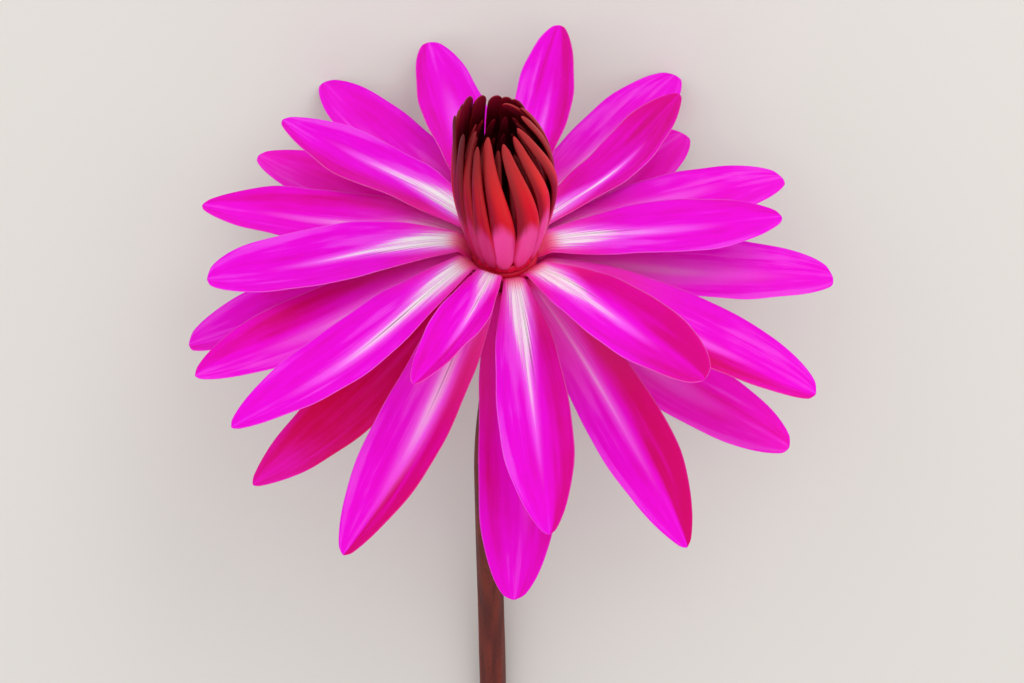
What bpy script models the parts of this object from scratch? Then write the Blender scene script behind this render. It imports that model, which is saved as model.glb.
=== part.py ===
"""Red water lily, cut with its stem and laid down on a flat surface.

Lengths below are millimetres and angles are degrees, and every mesh is made in metres. The bloom is
modelled upright in its own frame: the axis of the stamen cone is +Z, azimuth 0 is +X, azimuth 90 is +Y,
and the inner petals spring from just below z = 0. An empty then lays the bloom down, and the stem
curves from the bloom's underside to the surface.
"""
import math

import bmesh
import bpy
import numpy as np

MM = 0.001

# How the cut flower lies
AXIS_RISE = 40.0           # the bloom's axis above the surface
BLOOM_HEIGHT = 71.2        # the bloom's centre above the surface

# Blade sections
MIDRIB_THICKNESS = 1.0
EDGE_THICKNESS = 0.62
TIP_HALF_WIDTH = 0.7
WIDEST_AT = 0.56           # share of the length
ROOT_LIFT = 4.2            # the roots climb beside the cone before the blades spread
ROOT_LIFT_LEAN = 1.6       # more so on the side away from this azimuth
ROOT_LIFT_AZIMUTH = 20.0
ROOT_CLIMB = 3.6           # from the ring outwards
ROOT_LIFT_FROM = 7.0       # where the lift begins to fade, and where it has
ROOT_LIFT_UNTIL = 50.0
BLADE_ROWS = (0.0, 0.06, 0.13, 0.22, 0.33, 0.45, 0.56, 0.67, 0.78, 0.87, 0.94, 1.0)
BLADE_COLUMNS = (-1.0, -0.55, 0.0, 0.55, 1.0)

# Each whorl: ring radius, ring height, material
WHORLS = {
    "petal_inner": (9.3, -3.6, "petal_upper"),
    "petal_middle": (8.8, -7.0, "petal_lower"),
    "petal_outer": (8.2, -10.2, "petal_lower"),
    "sepal": (7.4, -13.2, "sepal_red"),
}

# Each blade: whorl, azimuth, rise, tip's distance from the axis along the blade, half width, arch
# of the midrib, cup of the section, sideways bow, turn of the root round the ring, its half angle
BLADES = (
    ("petal_inner", 13.5, -4.0, 77.0, 9.8, 6, 0.45, -1.5, 0, 17),
    ("petal_inner", 53.5, -4.0, 82.0, 7.4, 4, 0.55, -3.4, -5, 13.5),
    ("petal_inner", 79.5, 2.5, 86.0, 8.5, 0, 0.70, -1.0, 0, 13.5),
    ("petal_inner", 104.0, -1.5, 86.0, 9.2, 6, 0.42, 0.0, 5, 14),
    ("petal_inner", 140.0, -1.0, 80.0, 8.8, 4, 0.45, -0.8, 1, 16),
    ("petal_inner", 183.5, -3.5, 78.5, 10.4, 8, 0.45, -0.5, -1, 15.5),
    ("petal_inner", 216.5, -6.5, 86.0, 9.3, 12, 0.42, 2.5, -2, 14.5),
    ("petal_inner", 245.0, 10.5, 56.0, 6.6, 10, 0.45, 2.0, 6, 15.5),
    ("petal_inner", 278.5, -23.5, 77.3, 9.8, 16, 0.42, 0.0, 5, 13.5),
    ("petal_inner", 312.5, 12.5, 74.0, 10.2, 14, 0.45, 0.0, 0, 15),
    ("petal_middle", 29.5, -9.0, 90.0, 10.5, 8, 0.42, 0.0, -4, 17),
    ("petal_middle", 58.0, -5.5, 94.0, 10.5, 6, 0.45, 0.0, 4, 17),
    ("petal_middle", 123.5, -6.5, 94.5, 10.2, 6, 0.42, 0.0, 0, 19),
    ("petal_middle", 162.0, -4.5, 87.0, 10.0, 8, 0.42, -1.0, 0, 17),
    ("petal_middle", 198.5, -10.0, 86.5, 10.5, 12, 0.42, 1.0, 1, 17),
    ("petal_middle", 239.0, -26.0, 88.8, 10.2, 18, 0.42, 2.5, 0, 19),
    ("petal_middle", 308.0, -31.0, 90.0, 10.8, 18, 0.42, 1.0, -4, 17),
    ("petal_middle", 337.5, -10.0, 88.7, 10.8, 14, 0.42, 0.0, 3, 17),
    ("petal_outer", 8.5, -12.0, 93.0, 11.2, 10, 0.40, -1.5, 0, 25),
    ("petal_outer", 94.0, -14.0, 70.0, 10.0, 6, 0.40, 0.0, 0, 25),
    ("petal_outer", 184.0, -16.5, 89.0, 10.5, 10, 0.40, -3.0, 0, 25),
    ("petal_outer", 272.0, -39.0, 88.6, 10.8, 20, 0.40, 2.0, 0, 25),
    ("sepal", 52.5, -9.5, 85.5, 10.6, 6, 0.38, -1.0, 0, 30),
    ("sepal", 141.5, -7.2, 90.0, 10.2, 6, 0.38, -1.0, -2, 30),
    ("sepal", 209.5, -30.0, 88.5, 10.6, 12, 0.38, 4.0, -2, 30),
    ("sepal", 339.5, -26.0, 90.5, 11.0, 10, 0.38, -5.0, 2, 30),
)

# Outer stamens: azimuth of the foot, turn from foot to tip, power that delays the turn, greatest width,
# share of it left at the tip, radius at the tip, height, how far the belly stands back
OUTER_STAMENS = (
    (0, -31, 2.2, 5.4, 0.30, 3.6, 45.5, 0.0),
    (13, 7, 2.0, 6.4, 0.40, 4.4, 46.0, 0.5),
    (27, 19, 3.0, 6.8, 0.44, 6.1, 46.0, 0.0),
    (42, 44, 6.0, 7.2, 0.55, 4.8, 47.2, 0.5),
    (60, 10, 2.0, 5.6, 0.55, 7.5, 46.5, 0.0),
    (79, 8, 1.3, 5.6, 0.60, 8.0, 46.5, 0.5),
    (99, 6, 1.3, 5.2, 0.70, 8.2, 47.0, 0.0),
    (125, 4, 1.3, 5.6, 0.72, 9.4, 47.5, 0.5),
    (143, 2, 1.3, 6.2, 0.70, 11.0, 48.0, 0.0),
    (162, -4, 1.3, 5.4, 0.50, 11.3, 47.5, 0.5),
    (180, -12, 1.3, 5.0, 0.36, 11.2, 48.0, 0.0),
    (198, -18, 1.3, 4.6, 0.30, 12.2, 48.0, 0.5),
    (214, -10, 1.3, 4.4, 0.30, 11.0, 46.0, 0.0),
    (230, -24, 1.8, 4.6, 0.30, 7.8, 46.0, 0.5),
    (248, -20, 1.8, 4.8, 0.28, 9.8, 44.5, 0.0),
    (269, -35, 3.2, 6.8, 0.28, 6.8, 46.0, 0.5),
    (301, -33, 3.4, 7.0, 0.26, 6.9, 45.0, 0.0),
    (330, -32, 2.6, 5.8, 0.28, 4.8, 45.0, 0.5),
)

# Each stamen ring: inner and outer radius, bottom and top of the ring, radius at the belly, thickness
CROWNS = {
    "stamens_outer": (7.2, 8.6, -1.2, 1.2, 12.8, 1.7),
    "stamens_middle": (5.8, 6.9, 0.5, 1.7, 10.2, 1.2),
    "stamens_inner": (4.7, 5.6, 2.0, 3.2, 7.7, 1.1),
}
BELLY_AT = 0.55            # share of a stamen's height
FOOT_SHARE = 0.5           # a foot's width against the greatest
STAMEN_ROWS = (0.0, 0.08, 0.20, 0.38, 0.56, 0.74, 0.89, 1.0)
MIDDLE_STAMEN_COUNT = 13
INNER_STAMEN_COUNT = 11
SEED = 11

# Receptacle profile, radius and height, from the stem joint up to the seat of the stigma disc
RECEPTACLE = (
    (0.0, -17.0), (4.3, -17.0), (5.6, -15.2), (6.8, -13.2), (7.6, -10.2), (8.2, -7.0), (8.7, -3.6),
    (8.8, -2.3), (8.5, -1.6), (6.7, -1.5), (6.7, 0.1), (5.5, 0.2), (5.5, 1.6), (4.4, 1.7), (4.4, 3.2),
    (0.0, 3.3),
)
STIGMA_DISC = ((0.0, 3.6), (3.9, 3.6), (4.2, 4.5), (3.8, 5.3), (2.2, 4.6), (1.4, 5.0), (1.0, 6.0), (0.0, 6.3))
TURNED_SIDES = 48

# Stem
STEM_RADIUS = 4.0
STEM_JOINT = -17.4         # along the bloom's axis, clear of the receptacle
STEM_FLAT_LENGTH = 38.0    # the run that lies on the surface
STEM_BOW = -6.0            # sideways
STEM_BOW_LENGTH = 60.0
STEM_RETURN_LENGTH = 310.0
STEM_POINTS = 36

COLOURS = {
    "petal_upper": ((0.80, 0.010, 0.62, 1.0), 0.45),
    "petal_lower": ((0.70, 0.006, 0.50, 1.0), 0.45),
    "sepal_red": ((0.52, 0.004, 0.14, 1.0), 0.50),
    "stamen_red": ((0.42, 0.015, 0.018, 1.0), 0.42),
    "receptacle_rose": ((0.45, 0.01, 0.06, 1.0), 0.50),
    "stigma_red": ((0.20, 0.006, 0.01, 1.0), 0.60),
    "stem_brown": ((0.14, 0.030, 0.016, 1.0), 0.50),
}


def clear_scene():
    """Empty the scene and the data of an earlier run."""
    for obj in list(bpy.data.objects):
        bpy.data.objects.remove(obj, do_unlink=True)
    for blocks in (bpy.data.meshes, bpy.data.curves, bpy.data.materials):
        for block in list(blocks):
            blocks.remove(block)


def make_materials():
    """One plain shaded material for each colour."""
    materials = {}
    for name, (colour, roughness) in COLOURS.items():
        material = bpy.data.materials.new(name)
        material.use_nodes = True
        shader = material.node_tree.nodes["Principled BSDF"]
        shader.inputs["Base Color"].default_value = colour
        shader.inputs["Roughness"].default_value = roughness
        shader.inputs["Metallic"].default_value = 0.0
        materials[name] = material
    return materials


def add_mesh(name, points, faces, material, parent):
    """A smooth object from points in millimetres."""
    mesh = bpy.data.meshes.new(name)
    mesh.from_pydata((np.asarray(points) * MM).tolist(), [], [list(map(int, face)) for face in faces])
    mesh.validate()
    mesh.shade_smooth()
    mesh.materials.append(material)
    obj = bpy.data.objects.new(name, mesh)
    obj.parent = parent
    bpy.context.collection.objects.link(obj)
    return obj


def smooth_step(x):
    """Ease from 0 to 1."""
    x = np.clip(x, 0.0, 1.0)
    return x * x * (3.0 - 2.0 * x)


def blade_half_width(along, widest, root):
    """Half width of a petal: a swelling from the root, then a pointed oval."""
    rise = root + (widest - root) * np.sin(0.5 * math.pi * np.clip(along / WIDEST_AT, 0, 1)) ** 1.2
    past = np.clip((along - WIDEST_AT) / (1.0 - WIDEST_AT), 0, 1)
    fall = TIP_HALF_WIDTH + (widest - TIP_HALF_WIDTH) * (1.0 - past ** 2.1) ** 0.8
    return np.where(along < WIDEST_AT, rise, fall)


def midrib(along, rise, arch, length):
    """Side view of the midrib: a circular arc, highest slope at the root."""
    slope = math.radians(rise) + math.radians(arch) * (0.5 - along)
    if arch == 0:
        return along * length * np.cos(slope), along * length * np.sin(slope), slope
    first = math.radians(rise + 0.5 * arch)
    bend = math.radians(arch)
    out = length * (math.sin(first) - np.sin(slope)) / bend
    up = length * (np.cos(slope) - math.cos(first)) / bend
    return out, up, slope


def blade_surface(spec):
    """Middle surface of one petal or sepal as a grid of points, rows from root to tip."""
    whorl, azimuth, rise, reach, half_width, arch, cup, bow, root_turn, root_angle = spec
    ring_radius, ring_height, _ = WHORLS[whorl]
    along = np.array(BLADE_ROWS)[:, None]
    across = np.array(BLADE_COLUMNS)[None, :]
    out, up, slope = midrib(along, rise, arch, reach - ring_radius)
    width = blade_half_width(along, half_width, math.radians(root_angle) * ring_radius)
    curl = cup * np.clip(along / 0.35, 0.02, 1.0)
    lateral = width * np.sin(curl * across) / curl + bow * np.sin(math.pi * along ** 0.9)
    lift = width * (1.0 - np.cos(curl * across)) / curl
    radius = ring_radius + out - lift * np.sin(slope)
    height = ring_height + up + lift * np.cos(slope)
    lifted = ROOT_LIFT - ROOT_LIFT_LEAN * math.cos(math.radians(azimuth - ROOT_LIFT_AZIMUTH))
    fading = smooth_step((out - ROOT_LIFT_FROM) / (ROOT_LIFT_UNTIL - ROOT_LIFT_FROM))
    height = height + lifted * smooth_step(out / ROOT_CLIMB) * (1.0 - fading)
    # The root follows the receptacle's round, and the blade runs straight out from there
    free = smooth_step(along / 0.2)
    angle = lateral / np.maximum(radius, 1.0)
    x = radius * (1.0 - free) * np.cos(angle) + radius * free - ring_radius
    y = radius * (1.0 - free) * np.sin(angle) + lateral * free
    turn = -math.radians(root_turn)
    x, y = x * math.cos(turn) - y * math.sin(turn) + ring_radius, x * math.sin(turn) + y * math.cos(turn)
    root = math.radians(azimuth + root_turn)
    grid = np.empty(x.shape + (3,))
    grid[..., 0] = x * math.cos(root) - y * math.sin(root)
    grid[..., 1] = x * math.sin(root) + y * math.cos(root)
    grid[..., 2] = height
    return grid


def blade_solid(spec):
    """Points and triangles of a petal: the surface offset to both sides, closed along its edge."""
    grid = blade_surface(spec)
    normal = np.cross(np.gradient(grid, axis=0), np.gradient(grid, axis=1))
    normal /= np.linalg.norm(normal, axis=-1, keepdims=True)
    along = np.array(BLADE_ROWS)[:, None]
    across = np.array(BLADE_COLUMNS)[None, :]
    extra = (MIDRIB_THICKNESS - EDGE_THICKNESS) * (1.0 - across ** 2) * (1.0 - 0.5 * along)
    half = 0.5 * (EDGE_THICKNESS + extra)[..., None]
    upper = (grid - normal * half).reshape(-1, 3)
    lower = (grid + normal * half).reshape(-1, 3)
    rows, columns = grid.shape[:2]
    index = np.arange(rows * columns).reshape(rows, columns)
    under = rows * columns
    a, b, c, d = index[:-1, :-1], index[1:, :-1], index[1:, 1:], index[:-1, 1:]
    one = np.stack([a, b, c], -1).reshape(-1, 3)
    two = np.stack([a, c, d], -1).reshape(-1, 3)
    rim = np.concatenate([index[:, 0], index[-1, 1:], index[-2::-1, -1], index[0, -2:0:-1]])
    after = np.roll(rim, -1)
    side_one = np.stack([rim, rim + under, after + under], -1)
    side_two = np.stack([rim, after + under, after], -1)
    faces = np.concatenate([one, two, one[:, ::-1] + under, two[:, ::-1] + under, side_one, side_two])
    return np.concatenate([lower, upper]), faces


def add_blades(materials, bloom):
    """Every petal and sepal, numbered round its whorl."""
    count = {}
    for spec in BLADES:
        whorl = spec[0]
        count[whorl] = count.get(whorl, 0) + 1
        points, faces = blade_solid(spec)
        add_mesh(f"{whorl}_{count[whorl]}", points, faces, materials[WHORLS[whorl][2]], bloom)


def turned_mesh(name, profile, closed):
    """A mesh turned about Z from a profile of radius and height, faces outward."""
    shape = bmesh.new()
    points = [shape.verts.new((radius * MM, 0.0, height * MM)) for radius, height in profile]
    edges = [shape.edges.new(pair) for pair in zip(points[:-1], points[1:])]
    if closed:
        edges.append(shape.edges.new((points[-1], points[0])))
    bmesh.ops.spin(
        shape, geom=points + edges, cent=(0, 0, 0), axis=(0, 0, 1), dvec=(0, 0, 0),
        angle=2.0 * math.pi, steps=TURNED_SIDES, use_merge=True, use_duplicate=False,
    )
    bmesh.ops.remove_doubles(shape, verts=shape.verts, dist=1e-6)
    bmesh.ops.recalc_face_normals(shape, faces=shape.faces)
    mesh = bpy.data.meshes.new(name)
    shape.to_mesh(mesh)
    shape.free()
    return mesh


def add_turned(name, profile, closed, material, parent):
    """An object turned about the bloom's axis."""
    mesh = turned_mesh(name, profile, closed)
    mesh.shade_smooth()
    mesh.set_sharp_from_angle(angle=math.radians(40))
    mesh.materials.append(material)
    obj = bpy.data.objects.new(name, mesh)
    obj.parent = parent
    bpy.context.collection.objects.link(obj)
    return obj


def stamen_solid(spec, root_radius, root_height, belly_radius, thickness):
    """Points and faces of one stamen: a six-sided tapering blade, bulged out and bent in at its tip."""
    azimuth, turned, delay, widest, tip_share, tip_radius, height, inset = spec
    belly_radius = belly_radius - inset
    along = np.array(STAMEN_ROWS)
    swell = np.sin(0.5 * math.pi * np.clip(along / BELLY_AT, 0, 1))
    bend = np.clip((along - BELLY_AT) / (1.0 - BELLY_AT), 0, 1) ** 2
    radius = root_radius + (belly_radius - root_radius) * swell - (belly_radius - tip_radius) * bend
    level = root_height + (height - root_height) * along
    taper = 1.0 - (1.0 - tip_share) * np.clip((along - 0.15) / 0.85, 0, 1) ** 2
    width = widest * (FOOT_SHARE + (1.0 - FOOT_SHARE) * smooth_step(along / 0.15)) * taper
    depth = thickness * (0.75 + 0.25 * smooth_step(along / 0.1)) * (1.0 - 0.35 * along)
    slope = np.arctan2(np.gradient(level), np.gradient(radius))
    side = 0.5 * np.array([-1.0, -0.55, 0.55, 1.0, 0.55, -0.55])[None, :] * width[:, None]
    out = 0.5 * np.array([0.0, 1.0, 1.0, 0.0, -1.0, -1.0])[None, :] * depth[:, None]
    out = out - side ** 2 / (2.0 * radius[:, None])
    turn = math.radians(azimuth) + math.radians(turned) * along[:, None] ** delay
    reach = radius[:, None] + out * np.sin(slope)[:, None]
    z = level[:, None] - out * np.cos(slope)[:, None]
    x = reach * np.cos(turn) - side * np.sin(turn)
    y = reach * np.sin(turn) + side * np.cos(turn)
    points = np.stack([x, y, z], -1).reshape(-1, 3)
    rows = len(STAMEN_ROWS)
    index = np.arange(rows * 6).reshape(rows, 6)
    beside = np.roll(index, -1, axis=1)
    quads = np.stack([index[:-1], index[1:], beside[1:], beside[:-1]], -1).reshape(-1, 4)
    return points, [*quads.tolist(), index[0].tolist(), index[-1][::-1].tolist()]


def inner_stamens(count, belly_radius, widest, height, start, spread):
    """Specs of a hidden whorl, its tips bent in further on the +X side, with small seeded changes."""
    rng = np.random.default_rng(SEED)
    specs = []
    for number in range(count):
        azimuth = start + 360.0 * number / count + rng.uniform(-3, 3)
        tip_radius = 0.50 * belly_radius + spread * math.cos(math.radians(azimuth - 195.0))
        width = widest * rng.uniform(0.9, 1.1)
        specs.append((azimuth, -10, 1.3, width, 0.35, tip_radius, height + rng.uniform(-1.5, 1.5), 0.0))
    return specs


def add_crown(name, specs, material, bloom):
    """One whorl of stamens, joined to a ring at the roots."""
    inner, outer, bottom, top, belly, thickness = CROWNS[name]
    ring_profile = ((inner, bottom), (outer, bottom), (outer, top), (inner, top))
    crown = add_turned(name, ring_profile, True, material, bloom)
    blades = bpy.data.collections.new(name + "_blades")
    bpy.context.scene.collection.children.link(blades)
    for number, spec in enumerate(specs):
        root_height = 0.5 * (bottom + top)
        points, faces = stamen_solid(spec, 0.5 * (inner + outer), root_height, belly, thickness)
        blade = add_mesh(f"{name}_blade_{number}", points, faces, material, bloom)
        bpy.context.collection.objects.unlink(blade)
        blades.objects.link(blade)
    union = crown.modifiers.new("roots", "BOOLEAN")
    union.operation = "UNION"
    union.operand_type = "COLLECTION"
    union.collection = blades
    union.solver = "EXACT"
    union.use_self = True
    bpy.context.view_layer.update()
    depsgraph = bpy.context.evaluated_depsgraph_get()
    joined = bpy.data.meshes.new_from_object(crown.evaluated_get(depsgraph))
    crown.modifiers.clear()
    crown.data = joined
    joined.name = name
    joined.materials.clear()
    joined.materials.append(material)
    for blade in list(blades.objects):
        bpy.data.objects.remove(blade, do_unlink=True)
    bpy.data.collections.remove(blades)
    joined.shade_smooth()
    joined.set_sharp_from_angle(angle=math.radians(55))
    return crown


def stem_route():
    """Centre line of the stem: down along the bloom's axis, round to the surface, then along it."""
    rise = math.radians(AXIS_RISE)
    start_y = STEM_JOINT * math.cos(rise)
    start_z = BLOOM_HEIGHT + STEM_JOINT * math.sin(rise)
    bend_radius = (start_z - STEM_RADIUS) / (1.0 - math.cos(rise))
    arc_length = bend_radius * rise
    distance = np.linspace(0.0, arc_length + STEM_FLAT_LENGTH, STEM_POINTS)
    turned = np.clip(distance / bend_radius, 0.0, rise)
    flat = np.maximum(distance - arc_length, 0.0)
    y = start_y - bend_radius * (math.sin(rise) - np.sin(rise - turned)) - flat
    z = start_z - bend_radius * (np.cos(rise - turned) - math.cos(rise))
    run = start_y - y
    x = STEM_BOW * smooth_step(run / STEM_BOW_LENGTH) * (1.0 - run / STEM_RETURN_LENGTH)
    return np.stack([x, y, z], -1)


def add_stem(material, flower):
    """The cut stem: a round bar along the route with flat ends."""
    route = stem_route()
    curve = bpy.data.curves.new("stem", "CURVE")
    curve.dimensions = "3D"
    curve.bevel_depth = STEM_RADIUS * MM
    curve.bevel_resolution = 6
    curve.use_fill_caps = True
    curve.twist_mode = "Z_UP"
    spline = curve.splines.new("POLY")
    spline.points.add(len(route) - 1)
    for point, place in zip(spline.points, route):
        point.co = (*(place * MM), 1.0)
    curve.materials.append(material)
    obj = bpy.data.objects.new("stem", curve)
    obj.parent = flower
    bpy.context.collection.objects.link(obj)
    return obj


def add_empty(name, parent=None):
    """A frame to place other objects by."""
    empty = bpy.data.objects.new(name, None)
    empty.parent = parent
    bpy.context.collection.objects.link(empty)
    return empty


def lay_down(flower):
    """Stand the whole flower on z = 0 with its box centred on the origin."""
    bpy.context.view_layer.update()
    depsgraph = bpy.context.evaluated_depsgraph_get()
    low, high = np.full(3, np.inf), np.full(3, -np.inf)
    for obj in bpy.data.objects:
        if obj.type == "EMPTY":
            continue
        solid = obj.evaluated_get(depsgraph)
        mesh = solid.to_mesh()
        points = np.array([solid.matrix_world @ vertex.co for vertex in mesh.vertices])
        solid.to_mesh_clear()
        low, high = np.minimum(low, points.min(axis=0)), np.maximum(high, points.max(axis=0))
    flower.location = (-0.5 * (low[0] + high[0]), -0.5 * (low[1] + high[1]), -low[2])
    bpy.context.view_layer.update()


def build():
    """Make the whole flower."""
    clear_scene()
    materials = make_materials()
    flower = add_empty("flower")
    bloom = add_empty("bloom", flower)
    bloom.location = (0.0, 0.0, BLOOM_HEIGHT * MM)
    bloom.rotation_euler = (math.radians(AXIS_RISE - 90.0), 0.0, 0.0)
    add_blades(materials, bloom)
    add_turned("receptacle", RECEPTACLE, False, materials["receptacle_rose"], bloom)
    add_turned("stigma_disc", STIGMA_DISC, False, materials["stigma_red"], bloom)
    add_crown("stamens_outer", OUTER_STAMENS, materials["stamen_red"], bloom)
    middle = inner_stamens(MIDDLE_STAMEN_COUNT, CROWNS["stamens_middle"][4], 3.6, 42.5, 14.0, 2.0)
    inner = inner_stamens(INNER_STAMEN_COUNT, CROWNS["stamens_inner"][4], 3.0, 37.5, 3.0, 1.1)
    add_crown("stamens_middle", middle, materials["stamen_red"], bloom)
    add_crown("stamens_inner", inner, materials["stamen_red"], bloom)
    add_stem(materials["stem_brown"], flower)
    lay_down(flower)


build()
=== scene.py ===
"""Looks of a cut red water lily that lies on a pale table, built round its solid frame.

The bloom is worked out in its own upright frame, in millimetres: the axis of the stamen cone is +Z,
azimuth 0 is +X and azimuth 90 is +Y. One matrix then lays it down where the solids are. Every piece is
a skin of rings: a ring is a loop of points, and the rings follow each other from one end to the other.
"""
import math

import bpy
import numpy as np
from mathutils import Matrix, Vector


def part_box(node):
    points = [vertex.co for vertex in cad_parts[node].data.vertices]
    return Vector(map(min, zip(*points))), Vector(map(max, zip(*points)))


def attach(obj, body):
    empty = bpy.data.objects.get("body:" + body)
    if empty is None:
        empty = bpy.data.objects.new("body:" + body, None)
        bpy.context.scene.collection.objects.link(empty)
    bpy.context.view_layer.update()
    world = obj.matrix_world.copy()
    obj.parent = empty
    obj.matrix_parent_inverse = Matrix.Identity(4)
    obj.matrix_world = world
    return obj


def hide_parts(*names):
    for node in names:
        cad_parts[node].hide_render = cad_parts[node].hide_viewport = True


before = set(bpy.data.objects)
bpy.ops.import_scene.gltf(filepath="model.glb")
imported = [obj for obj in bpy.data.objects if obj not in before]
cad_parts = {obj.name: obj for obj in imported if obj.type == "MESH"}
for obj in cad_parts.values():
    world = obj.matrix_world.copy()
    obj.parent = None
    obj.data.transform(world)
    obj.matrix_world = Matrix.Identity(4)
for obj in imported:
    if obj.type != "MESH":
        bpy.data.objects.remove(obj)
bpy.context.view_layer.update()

MM = 0.001
TAU = 2.0 * math.pi

# How the cut flower lies
AXIS_RISE = 40.0           # the bloom's axis above the surface

# Blade sections
MIDRIB_THICKNESS = 0.95
EDGE_THICKNESS = 0.45
TIP_HALF_WIDTH = 0.7
WIDEST_AT = 0.56           # share of the length
TIP_ROUND = 0.02           # share of the length that rounds off the tip
ROOT_SINK = 1.3            # how far a root reaches into the receptacle
ROOT_LIFT = 4.2            # the roots climb beside the cone before the blades spread
ROOT_LIFT_LEAN = 1.6       # more so on the side away from this azimuth
ROOT_LIFT_AZIMUTH = 20.0
ROOT_CLIMB = 3.6           # from the ring outwards
ROOT_LIFT_FROM = 7.0       # where the lift begins to fade, and where it has
ROOT_LIFT_UNTIL = 50.0
BLADE_ROWS = 74
BLADE_TIP_ROWS = 14        # of them, where the tip rounds off
BLADE_ROUND = 56           # points round a blade's section

# Relief of the blades
GROOVE_DEPTH = 0.22        # along the midrib
GROOVE_WIDTH = 0.07        # share of the half width
PLEAT_HEIGHT = 0.05
PLEATS = 3.5               # on each side of the midrib
EDGE_WAVE = 0.30
EDGE_WANDER = 0.22         # of the outline, sideways
ROLL_FROM = 0.4            # share of the length where an edge begins to roll up
ROLL_UNTIL = 0.75          # and where it has its full height
ROLL_INSIDE = 0.25         # share of the half width that stays flat
FOLD_AT = 0.34             # share of the half width where the fold shows
FOLD_WIDTH = 0.09
# Painted shade in the fold where an edge rolls up
FOLD_SHADE = 0.3           # for each millimetre that an edge rolls up

# Each whorl: ring radius, ring height, finish
WHORLS = {
    "petal_inner": (9.3, -3.6, "petal_upper"),
    "petal_middle": (8.8, -7.0, "petal_lower"),
    "petal_outer": (8.2, -10.2, "petal_lower"),
    "sepal": (7.4, -13.2, "sepal_red"),
}

# Each blade of a whorl: azimuth, rise, tip's distance from the axis along the blade, half width, arch
# of the midrib, cup of the section, sideways bow, turn of the root round the ring, its half angle
BLADES = {
    "petal_inner": (
        (13.5, -4.0, 77.0, 9.8, 6, 0.45, -1.5, 0, 17),
        (53.5, -4.0, 82.0, 7.4, 4, 0.55, -3.4, -5, 13.5),
        (79.5, 2.5, 86.0, 8.5, 0, 0.70, -1.0, 0, 13.5),
        (104.0, -1.5, 86.0, 9.2, 6, 0.42, 0.0, 5, 14),
        (140.0, -1.0, 80.0, 8.8, 4, 0.45, -0.8, 1, 16),
        (183.5, -3.5, 78.5, 10.4, 8, 0.45, -0.5, -1, 15.5),
        (216.5, -6.5, 86.0, 9.3, 12, 0.42, 2.5, -2, 14.5),
        (245.0, 10.5, 56.0, 6.6, 10, 0.45, 2.0, 6, 15.5),
        (278.5, -23.5, 77.3, 9.8, 16, 0.42, 0.0, 5, 13.5),
        (312.5, 12.5, 74.0, 10.2, 14, 0.45, 0.0, 0, 15),
    ),
    "petal_middle": (
        (29.5, -9.0, 90.0, 10.5, 8, 0.42, 0.0, -4, 17),
        (58.0, -5.5, 94.0, 10.5, 6, 0.45, 0.0, 4, 17),
        (123.5, -6.5, 94.5, 10.2, 6, 0.42, 0.0, 0, 19),
        (162.0, -4.5, 87.0, 10.0, 8, 0.42, -1.0, 0, 17),
        (198.5, -10.0, 86.5, 10.5, 12, 0.42, 1.0, 1, 17),
        (239.0, -26.0, 88.8, 10.2, 18, 0.42, 2.5, 0, 19),
        (308.0, -31.0, 90.0, 10.8, 18, 0.42, 1.0, -4, 17),
        (337.5, -10.0, 88.7, 10.8, 14, 0.42, 0.0, 3, 17),
    ),
    "petal_outer": (
        (8.5, -12.0, 93.0, 11.2, 10, 0.40, -1.5, 0, 25),
        (94.0, -14.0, 70.0, 10.0, 6, 0.40, 0.0, 0, 25),
        (184.0, -16.5, 89.0, 10.5, 10, 0.40, -3.0, 0, 25),
        (272.0, -39.0, 88.6, 10.8, 20, 0.40, 2.0, 0, 25),
    ),
    "sepal": (
        (52.5, -9.5, 85.5, 10.6, 6, 0.38, -1.0, 0, 30),
        (141.5, -7.2, 90.0, 10.2, 6, 0.38, -1.0, -2, 30),
        (209.5, -30.0, 88.5, 10.6, 12, 0.38, 4.0, -2, 30),
        (339.5, -26.0, 90.5, 11.0, 10, 0.38, -5.0, 2, 30),
    ),
}
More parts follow.
